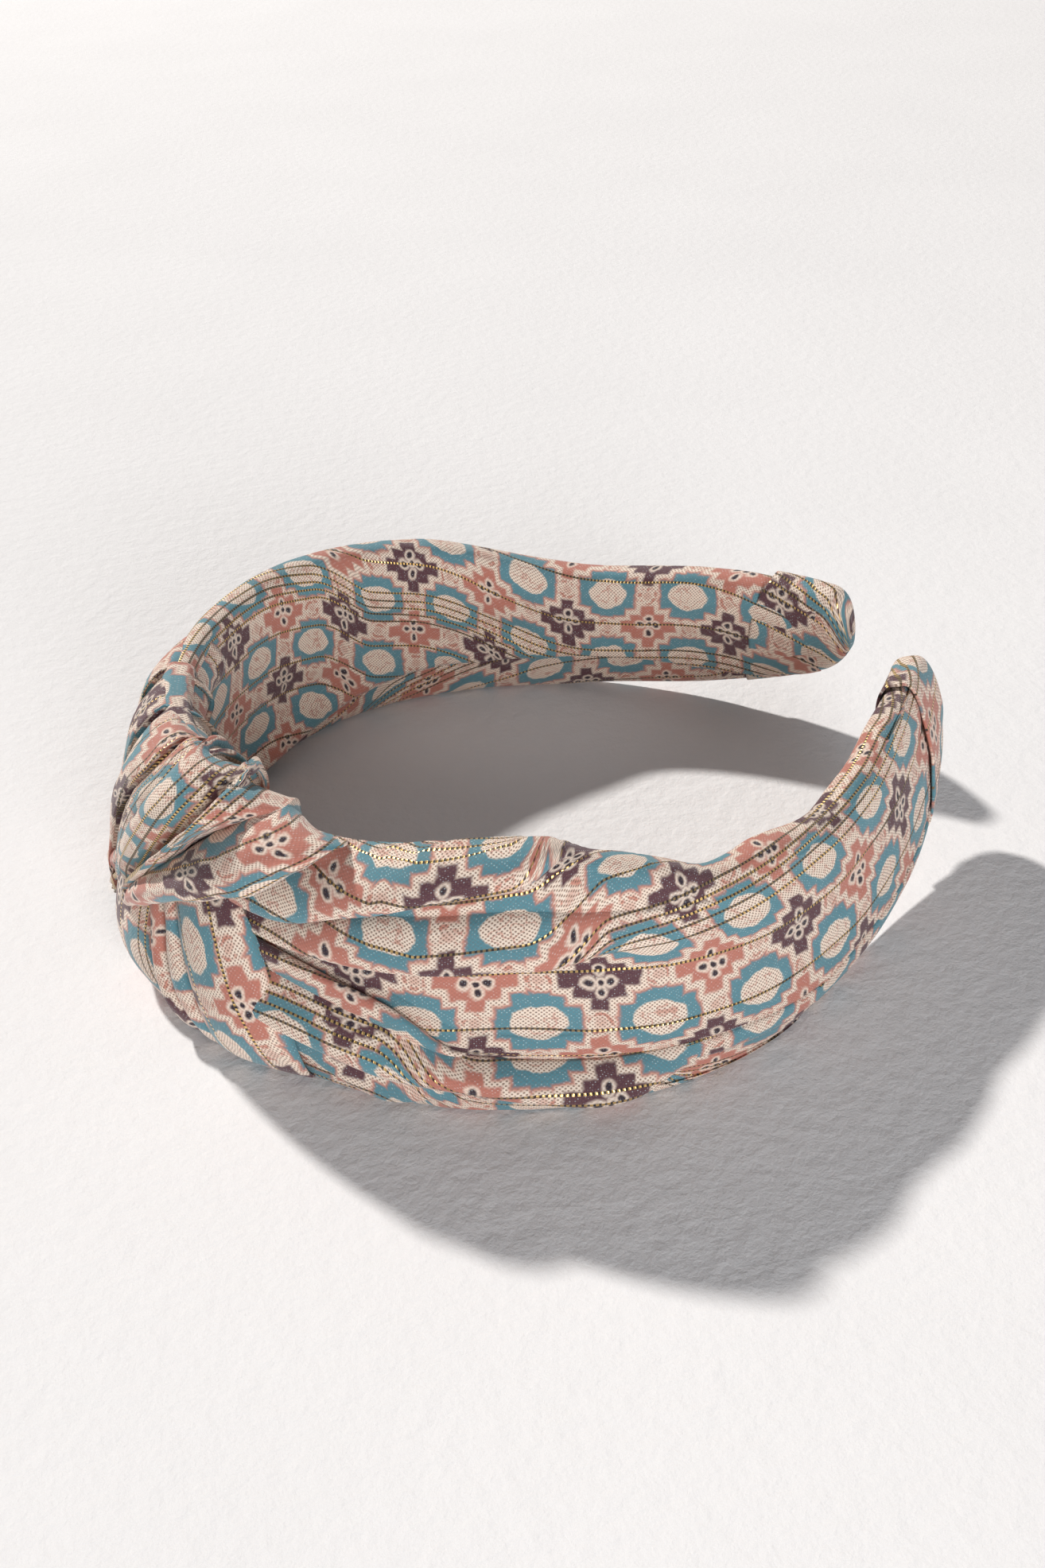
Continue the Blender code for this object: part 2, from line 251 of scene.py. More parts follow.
# The top edge's own line: (arc length, raised) in mm.
TOP_LINE = {
    -1: ((0, 0), (48, -1.6), (60, 0.2), (72, 0.8), (90, 1.0), (103, -0.6), (111, -2.4), (117, -1.4),
         (123, 0.4), (134, 0.4), (142, -0.5), (150, 0.4), (160, 0.2), (168, 0.9), (178, 0.4), (200, 0)),
    1: ((0, 0), (60, 0.3), (90, -0.5), (110, 0.6), (130, -0.4), (150, 0.3), (200, 0)),
}


def face_length(ring, up):
    """Running length at a height on the outer face of an outline."""
    length, _, ups = ring[:3]
    outer = abs(RING_ANGLES) <= 0.5 * math.pi
    return float(np.interp(up, ups[outer], length[outer]))


def section_rows(s, ring, pleats, counts, half_ring):
    """Running lengths, lifts and hidden cloth along one section, and each pleat's first row."""
    share = s / HALF_LENGTH
    upper = float(smooth(UPPER_FLAP, share)[0, 0])
    start = -(1 - upper) * half_ring - LAP_OVERLAP
    end = half_ring + upper * half_ring
    centres = []
    for *_, path in pleats:
        up = float(smooth(path, s / MM)[0, 0]) * MM
        centres.append(face_length(ring, up))
    stops = [start, *centres, end]
    places, lifts, hidden, firsts = [], [], [], []
    previous = start
    for k, (lap, size, extra, fade, _) in enumerate(pleats):
        strength = 1 - float(rise(s / MM, *fade))
        below = min(1.0, max(centres[k] - stops[k], LEAST_ROOM) / PLEAT_ROOM)
        above = min(1.0, max(stops[k + 2] - centres[k], LEAST_ROOM) / PLEAT_ROOM)
        shape = PLEAT.copy()
        if lap < 0:
            shape = shape[::-1] * (-1, 1)
        flat = np.linspace(shape[0, 0], shape[-1, 0], len(shape))
        across = flat + (shape[:, 0] - flat) * strength * (0.6 + 0.4 * size)
        across = np.where(across < 0, across * below, across * above)
        lift = shape[:, 1] * strength * size
        zone = centres[k] + across
        panel = np.linspace(previous, zone[0], counts[k] + 1)[:-1]
        firsts.append(len(places) + len(panel))
        places += [*panel, *zone]
        lifts += [*np.zeros(len(panel)), *lift]
        more = np.zeros(len(shape))
        first, last = DOUBLED
        doubled = slice(first, last) if lap > 0 else slice(len(shape) - last, len(shape) - first)
        more[doubled] = extra * MM * (1 - float(rise(s / MM, *HIDDEN_FADE))) / (last - first)
        hidden += [*np.zeros(len(panel)), *more]
        previous = zone[-1]
    panel = np.linspace(previous, end, counts[-1])
    places += list(panel[1:])
    lifts += [0.0] * (len(panel) - 1)
    hidden += [0.0] * (len(panel) - 1)
    return np.array(places), np.array(lifts), np.array(hidden), firsts


def sleeve(name, side, pleats, mat, phase, seed, anchor):
    """Printed cloth round one arm. The print runs along the foot of the pleat numbered anchor."""
    columns = np.arange(SLEEVE_START, SLEEVE_END, COLUMN_STEP)
    typical = outline(TYPICAL_SHARE * HALF_LENGTH)
    half_ring = np.interp(0.5 * math.pi, RING_ANGLES, typical[0])
    station = TYPICAL_SHARE * HALF_LENGTH / MM
    edges = [face_length(typical, smooth(path, station)[0, 0] * MM) for *_, path in pleats]
    spans = np.diff([-0.6 * half_ring, *edges, 1.7 * half_ring])
    counts = [max(4, int(round(max(span, 0) / ROW_STEP))) for span in spans]
    points, uvs = [], []
    for s in columns:
        ring = outline(s)
        half_ring = float(np.interp(0.5 * math.pi, RING_ANGLES, ring[0]))
        places, lifts, hidden, firsts = section_rows(s, ring, pleats, counts, half_ring)
        out = np.interp(places, ring[0], ring[1])
        up = np.interp(places, ring[0], ring[2])
        n_out = np.interp(places, ring[0], ring[3])
        n_up = np.interp(places, ring[0], ring[4])
        size = np.hypot(n_out, n_up)
        n_out, n_up = n_out / size, n_up / size
        lap = LAP_STEP * rise(places, 1.0 * half_ring, 1.25 * half_ring)
        gape = float(smooth(LAP_GAPE, s / MM)[0, 0]) * MM
        lap += gape * rise(places, places[-1] - LAP_EDGE, places[-1])
        along = np.full_like(places, s)
        soft = ripple(along, places, seed, SLEEVE_RIPPLE) + lap
        top = np.clip(up / (float(smooth(HALF_WIDTH, s / HALF_LENGTH)[0, 0]) * MM), 0, 1)**3
        raised = float(smooth(TOP_LINE[side], s / MM)[0, 0]) * MM * top
        out = out + n_out * (lifts + soft)
        up = up + n_up * (lifts + soft) + raised
        points.append(on_band(np.full_like(out, side * s), out, up))
        cloth = np.concatenate([[0], np.cumsum(np.hypot(np.diff(out), np.diff(up)) + hidden[1:])])
        cloth -= cloth[firsts[anchor]]
        skew = PRINT_LEAN * rise(cloth, *LEAN_ZONE)
        uvs.append(np.stack([along - phase[0] * MM + skew, cloth + phase[1] * MM], -1))
    points, uvs = np.array(points), np.array(uvs)
    if side > 0:
        points, uvs = points[::-1], uvs[::-1]
    return grid_mesh(name, points, uvs, mat, wall=-CLOTH_WALL)


# --- the knot: strips whose pleats run along rails of (arc length, up, outward) in mm ------------
def rail_points(stations, count):
    stations = np.array(stations, float)
    steps = np.linalg.norm(np.diff(stations, axis=0), axis=1)
    share = np.concatenate([[0], np.cumsum(steps)]) / steps.sum()
    return smooth(np.column_stack([share, stations]), np.linspace(0, 1, count)) * MM


# How cloth turns under at a crease: (across, lifted) in shares of the lap's size.
CREASE_TURN = ((-0.3, 0.5), (-0.2, 0.1), (0.45, -0.2), (1.1, -0.4))
TURN_ROWS = len(CREASE_TURN)
EDGE_LIFT = 0.6
STRIP_RIPPLE = 0.35 * MM
STRIP_COLUMNS = 110
STRIP_WALL = 0.5 * MM


def strip(name, rails, panels, mat, start_uv, seed):
    """Pleated strip of cloth between rails.

    Each panel is (rows, bulge in mm along it, share across where its crest is, sharpness of the crest,
    lap size: below 0 where the next panel turns under it, row of the print along its crest in mm,
    and how far the print is moved along it in mm).
    """
    lines = [rail_points(stations, STRIP_COLUMNS) for stations in rails]
    rows = []
    t = np.linspace(0, 1, STRIP_COLUMNS)
    for k, (count, bulge, crest, sharp, lap, _, _) in enumerate(panels):
        heights = smooth(bulge, t)[:, 0] * MM
        for q in np.linspace(0, 1, count):
            skewed = q**(math.log(0.5) / math.log(crest))
            profile = math.sin(math.pi * skewed)**sharp
            line = lines[k] * (1 - q) + lines[k + 1] * q
            line[:, 2] += heights * profile
            if k and panels[k - 1][4] < 0:
                line[:, 2] += EDGE_LIFT * abs(panels[k - 1][4]) * MM * (1 - q)**3
            rows.append(line)
        if lap and k < len(panels) - 1:
            # the panel's end turns under its neighbour, or its neighbour's start turns under it
            across = lines[k + 1] - lines[k] if lap > 0 else lines[k + 2] - lines[k + 1]
            across /= np.maximum(np.linalg.norm(across, axis=1, keepdims=True), 1e-9)
            edge = lines[k + 1]
            size = abs(lap) * MM
            sign = 1.0 if lap > 0 else -1.0
            raised = np.array([0, 0, size])
            under = [edge + across * (a * size * sign) + raised * b for a, b in CREASE_TURN]
            rows += under if lap > 0 else under[::-1]
    grid = np.array(rows).transpose(1, 0, 2)
    world = on_band(grid[..., 0], grid[..., 2], grid[..., 1])
    flat = ripple(grid[..., 0] + grid[..., 1], grid[..., 1] - grid[..., 0], seed, STRIP_RIPPLE)
    world[..., 2] = np.maximum(world[..., 2] + flat, FLOOR_GAP)
    widths = np.linalg.norm(np.diff(world, axis=1), axis=2)
    lengths = np.linalg.norm(np.diff(world, axis=0), axis=2).mean(axis=1)
    u = np.repeat(np.concatenate([[0], np.cumsum(lengths)])[:, None], world.shape[1], axis=1)
    v = np.zeros(world.shape[:2])
    row = 0
    for k, (count, _, crest, _, lap, crest_row, shift) in enumerate(panels):
        last = row + count - 1
        local = np.concatenate([np.zeros((len(u), 1)), np.cumsum(widths[:, row:last], axis=1)], axis=1)
        local -= local[:, [int(round(crest * (count - 1)))]]
        v[:, row:last + 1] = crest_row * MM + local
        u[:, row:last + 1] -= shift * MM
        if k and panels[k - 1][4]:
            for j in range(TURN_ROWS):
                part = (j + 1) / (TURN_ROWS + 1)
                v[:, row - TURN_ROWS + j] = v[:, row - TURN_ROWS - 1] * (1 - part) + v[:, row] * part
        row = last + 1 + (TURN_ROWS if lap else 0)
    uv = np.stack([u - start_uv[0] * MM, v - start_uv[1] * MM], -1)
    return grid_mesh(name, world, uv, mat, wall=-STRIP_WALL)


# The fan of the knot: from the inner face over the top edge, then down across the front to the waist.
FAN_RAILS = (
    ((-11, 12, -4.2), (-13, 21, -6.2), (-15.5, 28.4, -2.5), (-18, 30.4, 2.5), (-15, 22.6, 8),
     (-10, 14, 9.3), (-4.6, 5, 9.6), (-1, -3, 9.6), (0, -7.4, 9)),
    ((-22, 12, -4.2), (-23, 20, -6.4), (-26, 27.4, -3), (-29.4, 28.6, 2.5), (-27.4, 22.8, 7.4),
     (-22.2, 15.6, 7.6), (-17, 8.8, 7.8), (-9.4, -0.2, 8.4), (-3.4, -6.4, 9)),
    ((-32, 10, -4.2), (-33, 18, -6.4), (-35.4, 25, -3), (-37.2, 26, 3), (-34.5, 24.6, 5.6),
     (-27.2, 19.4, 5.6), (-19.1, 11.9, 6.2), (-10.5, 3.4, 7.8), (-5.5, -5.5, 9.4)),
    ((-42, 6, -4.4), (-44, 13, -6.2), (-47.6, 21.4, -2), (-49.2, 23.4, 3), (-47.4, 22.2, 6),
     (-41.7, 17.2, 8), (-37.1, 13.2, 9.6), (-31.9, 10.4, 10.4), (-22.6, 5.0, 11), (-12, -3, 11),
     (-6.7, -7.2, 10.4)),
)
FAN_PANELS = (
    (17, ((0, 1.5), (0.3, 3.8), (0.7, 4.4), (0.88, 2.6), (1, 0.6)), 0.4, 0.62, -2.4, 8.3, 0),
    (13, ((0, 1), (0.3, 3.8), (0.45, 4.6), (0.8, 4.0), (1, 0.8)), 0.2, 0.65, 0, 60, 3),
    (26, ((0, 1.5), (0.3, 2.8), (0.45, 4.2), (0.7, 4.6), (0.9, 3.2), (1, 1.6)), 0.5, 0.62, 0, 99.6, 0),
)
# The pleats below the waist, down the front and round the lower edge to the inner face.
UNDER_RAILS = (
    ((5, 1, 7), (7, -8, 8), (6.4, -14, 8), (2.6, -20, 7), (-2, -24, 4), (-2, -24, 0),
     (-2, -20, -5), (-2, -12, -4.2)),
    ((-11, 2, 7.5), (-13.6, -5, 8), (-14.9, -9.5, 8.3), (-16.3, -13.5, 8.3), (-18.8, -19, 7.6),
     (-20, -23.5, 5), (-20, -24, 0), (-20, -20, -5), (-20, -12, -4.2)),
    ((-15, 4, 7.5), (-17.6, -2.5, 8), (-18.2, -8.8, 8), (-20, -13.9, 8), (-23.8, -19.4, 7.2),
     (-25, -23.5, 4.5), (-25, -24, 0), (-25, -20, -5), (-25, -12, -4.2)),
    ((-19, 6, 7.5), (-21, -1, 8), (-23.3, -8, 8), (-25.6, -13.5, 7.8), (-28, -19.4, 7),
     (-29, -23.5, 4.4), (-29, -24, 0), (-29, -20, -5), (-29, -12, -4.2)),
    ((-29, 11, 6.5), (-33.4, 6.7, 6.6), (-37.2, 0, 6.4), (-39.6, -6.3, 6.4), (-41.8, -11.7, 6.2),
     (-43.4, -17.6, 5.6), (-44, -22.5, 3.4), (-44, -24, 0), (-43, -20, -5), (-42, -12, -4.2)),
)
UNDER_PANELS = (
    (16, ((0, 1.5), (0.2, 3.0), (0.38, 3.3), (0.5, 1.8), (0.62, 0.4), (1, 0.4)),
     0.5, 0.75, -2.0, 1.6, 3.0),
    (9, ((0, 1.5), (0.2, 2.4), (0.45, 2.4), (0.6, 1), (0.7, 0.2), (1, 0.3)), 0.45, 0.7, -1.8, 17, 3),
    (8, ((0, 1.5), (0.2, 2.2), (0.45, 2.2), (0.6, 1), (0.7, 0.2), (1, 0.3)), 0.5, 0.7, -1.8, 25.5, -3),
    (18, ((0, 2), (0.2, 3.6), (0.45, 3.8), (0.6, 1.8), (0.7, 0.3), (1, 0.5)), 0.5, 0.62, 0, 27.5, -6.2),
)
# The folds beside the fan, up from the waist and round the top edge to the inner face.
LEFT_FOLD_RAILS = (
    ((-1, -13, 7.4), (-3, -8, 7.8), (-6.5, 1, 7.8), (-13, 12.5, 7.4), (-18, 22.4, 6.6),
     (-20.6, 29.8, 1.8), (-18.6, 23, -6), (-16, 12, -4.2)),
    ((4, -15, 8.4), (5, -9, 10.2), (3.5, 0, 9.8), (-1.5, 12, 8.8), (-7.5, 20.5, 7),
     (-10, 27, 1.5), (-8, 20.5, -6), (-5, 12, -4.2)),
    ((8, -14, 7.4), (10, -7, 8.0), (10.5, 3, 7.8), (8.5, 12, 7), (6, 19.5, 5.6), (6, 24.4, 0.6),
     (6, 20, -6), (6, 12, -4.2)),
    ((14, -12, 6.4), (17, -4, 6.8), (19.5, 4, 6.4), (20, 12, 5.8), (20, 19, 4.8), (20, 24.2, 0.5),
     (20, 20, -5.6), (20, 12, -4.2)),
    ((21, -11, 6), (27.2, -3, 5.6), (30.5, 4, 5.4), (33, 12, 5), (34.4, 19, 4.2), (35, 24, 0.4),
     (35, 19.5, -5.4), (34, 12, -4.2)),
)
LEFT_FOLD_PANELS = (
    (13, ((0, 0.8), (0.4, 2.4), (0.6, 1.8), (1, 0.3)), 0.45, 0.75, -2.0, 8.3, 0),
    (13, ((0, 0.8), (0.4, 2.4), (0.6, 1.6), (1, 0.3)), 0.5, 0.75, -2.0, 21, 2),
    (10, ((0, 0.8), (0.4, 2.0), (0.6, 1.4), (1, 0.3)), 0.5, 0.7, -2.0, 33, -2),
    (14, ((0, 1), (0.4, 2.8), (0.6, 1.6), (1, 0.3)), 0.5, 0.65, 0, 45, 0),
)
TURN_AXIS = (-10, -4)


def turned(rails, settle):
    """The same rails, half a turn about the middle of the knot, and pressed closer to the band."""
    middle_s, middle_up = TURN_AXIS

    def moved(s, up, out):
        return middle_s - s, middle_up - up, out * settle if out > 0 else out

    return tuple(tuple(moved(*station) for station in rail) for rail in rails)


# --- shader arithmetic ---------------------------------------------------------------------------
class Value:
    """A shader socket with arithmetic, so that a pattern reads as a formula."""

    def __init__(self, tree, socket):
        self.tree = tree
        self.socket = socket

    def math(self, operation, *others, clamp=False):
        node = self.tree.nodes.new("ShaderNodeMath")
        node.operation = operation
        node.use_clamp = clamp
        for slot, item in zip(node.inputs, (self, *others)):
            if isinstance(item, Value):
                self.tree.links.new(item.socket, slot)
            else:
                slot.default_value = item
        return Value(self.tree, node.outputs[0])

    def __add__(self, other):
        return self.math("ADD", other)

    def __sub__(self, other):
        return self.math("SUBTRACT", other)

    def __mul__(self, other):
        return self.math("MULTIPLY", other)

    def __truediv__(self, other):
        return self.math("DIVIDE", other)

    def size(self):
        return self.math("ABSOLUTE")

    def least(self, other):
        return self.math("MINIMUM", other)

    def most(self, other):
        return self.math("MAXIMUM", other)

    def rest(self):
        """What is left up to 1."""
        return (self - 1.0).size()

    def inside(self, edge, soft):
        """1 where the value is below edge, falling softly to 0 above it."""
        node = self.tree.nodes.new("ShaderNodeMapRange")
        node.interpolation_type = "SMOOTHSTEP"
        for slot, item in ((0, self), (1, edge - soft), (2, edge + soft), (3, 1.0), (4, 0.0)):
            if isinstance(item, Value):
                self.tree.links.new(item.socket, node.inputs[slot])
            else:
                node.inputs[slot].default_value = item
        return Value(self.tree, node.outputs[0])


def linear(c):
    return c / 255 / 12.92 if c < 10.3 else ((c / 255 + 0.055) / 1.055)**2.4


def srgb(r, g, b):
    """Linear colour from an sRGB one given in 0 to 255."""
    return (linear(r), linear(g), linear(b), 1.0)


TEAL = srgb(88, 128, 138)
PALE_TEAL = srgb(94, 150, 164)
PINK = srgb(190, 122, 106)
MAUVE = srgb(90, 58, 66)
CREAM = srgb(242, 222, 204)
BLUSH = srgb(198, 128, 110)
DOT = srgb(46, 36, 48)
# painted shade for the gaps of the open weave, in a deeper and a paler tone
GAP_SHADE = srgb(84, 58, 50)
GAP_SHADE_PALE = srgb(160, 132, 114)
# white of the painted sparkle highlights on the weave
SPARKLE_HIGHLIGHT = srgb(226, 236, 236)
THREAD_CORE = srgb(38, 30, 30)
GOLD = srgb(244, 204, 132)

# The print, in mm. A medallion of three overlapping boxes is at the middle of each cell, an oval is
# at each cell's corners, and a ring bud is between each two medallions.
CELL_U = 18.5
CELL_V = 16.6
FAR_CELLS = 100.5
STEPS = ((6.3, 1.6), (3.9, 3.5), (1.5, 5.9))
OUTLINE = 1.05
BUD_RADIUS = 2.5
RING_RADIUS = 1.7
HEART_RADIUS = 1.0
OVAL_RADII = (4.2, 3.1)
EDGE_SOFTNESS = 0.36
BLEED = 0.42
PRINT_WANDER = 2.4
# Seeds of a medallion: (along, across, half length, half width), each in a pale ring.
DOTS = (
    (0.0, 1.7, 0.5, 0.95), (-1.8, -0.7, 0.68, 0.6), (1.7, -0.6, 0.65, 0.6), (0.1, -2.3, 0.6, 0.62),
    (0.1, -0.8, 0.5, 0.5),
)
DOT_RING = 0.55
WEAVE_PITCH = (0.78, 0.70)
# Metallic threads lie along the cloth at these places across it, in mm, over and over.
LUREX = (1.2, 8.4, 10.4, 12.2, 13.9, 15.8, 22.6, 31.0, 38.5)
LUREX_REPEAT = 48.0
LUREX_HALF_WIDTH = 0.22
BEAD_PITCH = 0.8


def printed_cloth(name, seed):
    """Printed open weave with metallic threads, drawn in the cloth's own coordinates."""
    mat = bpy.data.materials.new(name)
    mat.use_nodes = True
    tree = mat.node_tree
    shader = tree.nodes["Principled BSDF"]
    place = tree.nodes.new("ShaderNodeUVMap")
    place.uv_map = "cloth"
    scale = tree.nodes.new("ShaderNodeVectorMath")
    scale.operation = "SCALE"
    scale.inputs["Scale"].default_value = 1000.0
    tree.links.new(place.outputs[0], scale.inputs[0])
    mm = scale.outputs[0]

    def noise(size, detail=2.0, rough=0.5, offset=0.0, stretch=(1.0, 1.0)):
        moved = tree.nodes.new("ShaderNodeVectorMath")
        moved.operation = "MULTIPLY_ADD"
        moved.inputs[1].default_value = (1 / size / stretch[0], 1 / size / stretch[1], 0)
        moved.inputs[2].default_value = (offset + seed, offset * 0.7, seed)
        tree.links.new(mm, moved.inputs[0])
        node = tree.nodes.new("ShaderNodeTexNoise")
        node.inputs["Scale"].default_value = 1.0
        node.inputs["Detail"].default_value = detail
        node.inputs["Roughness"].default_value = rough
        tree.links.new(moved.outputs[0], node.inputs["Vector"])
        return Value(tree, node.outputs[0])

    def mixed(amount, base, over):
        node = tree.nodes.new("ShaderNodeMix")
        node.data_type = "RGBA"
        tree.links.new(amount.socket, node.inputs[0])
        for slot, item in ((6, base), (7, over)):
            if isinstance(item, tuple):
                node.inputs[slot].default_value = item
            else:
                tree.links.new(item, node.inputs[slot])
        return node.outputs[2]

    split = tree.nodes.new("ShaderNodeSeparateXYZ")
    tree.links.new(mm, split.inputs[0])
    straight_u, straight_v = Value(tree, split.outputs[0]), Value(tree, split.outputs[1])
    u = straight_u + (noise(4.5, 3.0, 0.55, 3.0) - 0.5) * PRINT_WANDER
    v = straight_v + (noise(4.5, 3.0, 0.55, 9.0) - 0.5) * PRINT_WANDER
    cu, cv = u / CELL_U + FAR_CELLS, v / CELL_V + FAR_CELLS
    column, row = cu.math("FLOOR"), cv.math("FLOOR")
    x = (cu - column - 0.5) * CELL_U
    y = (cv - row - 0.5) * CELL_V
    odd = ((column + row) * 0.5).math("FRACT") * 2.0
    ax, ay = x.size(), y.size()

    core = None
    for a, b in STEPS:
        part = (ax - a).most(ay - b)
        core = part if core is None else core.least(part)

    def oval(dx, dy, rx, ry):
        return ((dx / rx).math("POWER", 2.0) + (dy / ry).math("POWER", 2.0)).math("SQRT") - 1.0

    along = oval(ax - CELL_U / 2, ay, 1.0, 1.0) + 1.0
    across = oval(ax, ay - CELL_V / 2, 1.0, 1.0) + 1.0
    buds = along.least(across)
    ovals = oval(ax - CELL_U / 2, ay - CELL_V / 2, *OVAL_RADII)
    blot = noise(2.2, 3.0, 0.6, 21.0)

    colour = mixed(noise(14.0, 2.0, 0.5, 31.0), TEAL, PALE_TEAL)
    outer = (core - OUTLINE).least(buds - BUD_RADIUS)
    colour = mixed(outer.inside(BLEED, EDGE_SOFTNESS), colour, BLUSH)
    colour = mixed(outer.inside(0.0, EDGE_SOFTNESS), colour, CREAM)
    ring = (buds - RING_RADIUS).size().inside(0.4, 0.25) * (blot - 0.42).inside(0.06, 0.05)
    colour = mixed(ring * 0.9, colour, BLUSH)
    heart = buds.inside(HEART_RADIUS, 0.4) * 0.45
    colour = mixed(heart, colour, BLUSH)
    colour = mixed(ovals.inside(0.04, 0.06), colour, CREAM)
    sketch = (noise(2.6, 1.0, 0.5, 44.0) - 0.5).size().inside(0.018, 0.02) * ovals.inside(-0.15, 0.1)
    colour = mixed(sketch * 0.7, colour, BLUSH)
    fill = mixed(odd.inside(0.5, 0.01), PINK, MAUVE)
    colour = mixed(core.inside(0.0, EDGE_SOFTNESS), colour, fill)
    halo, spots = None, None
    for dx, dy, rx, ry in DOTS:
        spot = oval(x - dx, y - dy, rx, ry)
        spots = spot if spots is None else spots.least(spot)
        around = oval(x - dx, y - dy, rx + DOT_RING, ry + DOT_RING)
        halo = around if halo is None else halo.least(around)
    colour = mixed(halo.inside(0.0, 0.3) * 0.85, colour, CREAM)
    colour = mixed(spots.inside(0.0, 0.4), colour, DOT)
    pale = outer.inside(0.0, EDGE_SOFTNESS).most(ovals.inside(0.04, 0.06))
    light = pale * core.inside(0.0, EDGE_SOFTNESS).rest()

    # open plain weave: painted shade in the gaps between the yarns, and painted sparkle highlights on
    # them
    crinkle = (noise(3.2, 2.0, 0.5, 61.0, (2.5, 1.0)) - 0.5) * 0.9
    wu = ((straight_u + crinkle) * (2 * math.pi / WEAVE_PITCH[0])).math("SINE")
    wv = ((straight_v + crinkle) * (2 * math.pi / WEAVE_PITCH[1])).math("SINE")
    weave = wu * wv * 0.5 + 0.5
    holes = weave.inside(0.34, 0.2)
    grit = noise(0.55, 1.0, 0.5, 71.0)
    gap_shade = mixed(grit, GAP_SHADE, GAP_SHADE_PALE)
    # the gaps between the yarns get painted shade, stronger on the pale parts of the print
    colour = mixed(holes * (light * 0.62 + 0.24), colour, gap_shade)
    # painted sparkle highlights: white specks on the yarn crests stand for light catching them
    painted_sparkle = weave.rest().inside(0.16, 0.12) * noise(0.9, 1.0, 0.5, 83.0).rest().inside(0.46, 0.06)
    colour = mixed(painted_sparkle * 0.42, colour, SPARKLE_HIGHLIGHT)

    # metallic threads, with painted glints on their gold beads
    strip_v = (straight_v / LUREX_REPEAT + 20.0).math("FRACT") * LUREX_REPEAT
    sway = (noise(30.0, 1.0, 0.5, 91.0) - 0.5) * 2.4
    gap = None
    for spot in LUREX:
        one = (strip_v + sway - spot).size()
        gap = one if gap is None else gap.least(one)
    beads = (straight_u * (2 * math.pi / BEAD_PITCH)).math("SINE") * 0.5 + 0.5
    thread = gap.inside(LUREX_HALF_WIDTH, 0.06)
    glint_zone = (noise(9.0, 1.0, 0.5, 101.0, (3.0, 0.4)) - 0.5).inside(0.02, 0.05)
    glint = beads.inside(0.55, 0.15) * glint_zone
    colour = mixed(thread * 0.92, colour, THREAD_CORE)
    # gold beads are painted bright inside glint zones and faint elsewhere: painted glints
    gold_with_painted_glint = thread * beads.inside(0.55, 0.15) * (glint_zone * 0.75 + 0.2)
    colour = mixed(gold_with_painted_glint, colour, GOLD)

    tree.links.new(colour, shader.inputs["Base Color"])
    metal = thread * glint
    tree.links.new(metal.socket, shader.inputs["Metallic"])
    rough = metal * -0.5 + 0.82
    tree.links.new(rough.socket, shader.inputs["Roughness"])
    shader.inputs["Sheen Weight"].default_value = 0.25
    shader.inputs["Sheen Roughness"].default_value = 0.5
    shader.inputs["Specular IOR Level"].default_value = 0.3
    height = weave * 0.05 + noise(1.6, 2.0, 0.6, 111.0, (3.0, 1.0)) * 0.22 + thread * beads * 0.12
    bump = tree.nodes.new("ShaderNodeBump")
    bump.inputs["Distance"].default_value = MM
    bump.inputs["Strength"].default_value = 0.55
    tree.links.new(height.socket, bump.inputs["Height"])
    tree.links.new(bump.outputs[0], shader.inputs["Normal"])
    return mat


# --- small parts ---------------------------------------------------------------------------------
WRAP_WALL = 0.5 * MM
WRAP_RIPPLE = 0.35 * MM
WRAP_SEAM = (-0.62 * math.pi, 1.38 * math.pi)
WRAP_COLUMNS = 34
WRAP_ROWS = 150
CLOSING = 0.72
TIP_POINT = 0.02


def wrap(name, side, start, stop, offset, mat, phase, seed, slant=0.0, closed=False):
    """Cloth tube round the band, offset from its outline; slant tips its first edge across the face."""
    steps = np.linspace(0, 1, WRAP_COLUMNS)
    points, uvs = [], []
    angles = np.linspace(*WRAP_SEAM, WRAP_ROWS)
    for t in steps:
        rows = []
        for angle in angles:
            tilt = slant * (0.5 + 0.5 * math.sin(angle + 0.6))
            rows.append(start + tilt + (stop - start - tilt) * t)
        s = np.array(rows)
        mid = float(np.clip(s.mean(), -HALF_LENGTH, HALF_LENGTH))
        ring = outline(mid)
        out = np.interp(angles, RING_ANGLES, ring[1])
        up = np.interp(angles, RING_ANGLES, ring[2])
        size = offset
        if closed:
            near = np.clip((t - CLOSING) / 0.28, 0, 1)
            shrink = math.sqrt(max(1 - near**2, 0.0))
            out = out * max(shrink, TIP_POINT)
            up = up * max(0.25 + 0.75 * shrink if near < 1 else TIP_POINT, TIP_POINT)
            size = offset * shrink
        reach = np.hypot(out, up) + 1e-9
        running = np.concatenate([[0], np.cumsum(np.hypot(np.diff(out), np.diff(up)))])
        running -= np.interp(0, angles, running)
        soft = ripple(s, running, seed, WRAP_RIPPLE)
        out = out + out / reach * (size + soft) + np.sign(out) * size * 0.4
        up = up + up / reach * (size + soft)
        points.append(on_band(side * s, out, up))
        uvs.append(np.stack([s - phase[0] * MM, running - phase[1] * MM], -1))
    points, uvs = np.array(points), np.array(uvs)
    if side > 0:
        points, uvs = points[::-1], uvs[::-1]
    return grid_mesh(name, points, uvs, mat, wall=-WRAP_WALL)


WELD = 0.03 * MM
PAD_SHARE = 0.82
PAD_END = 10


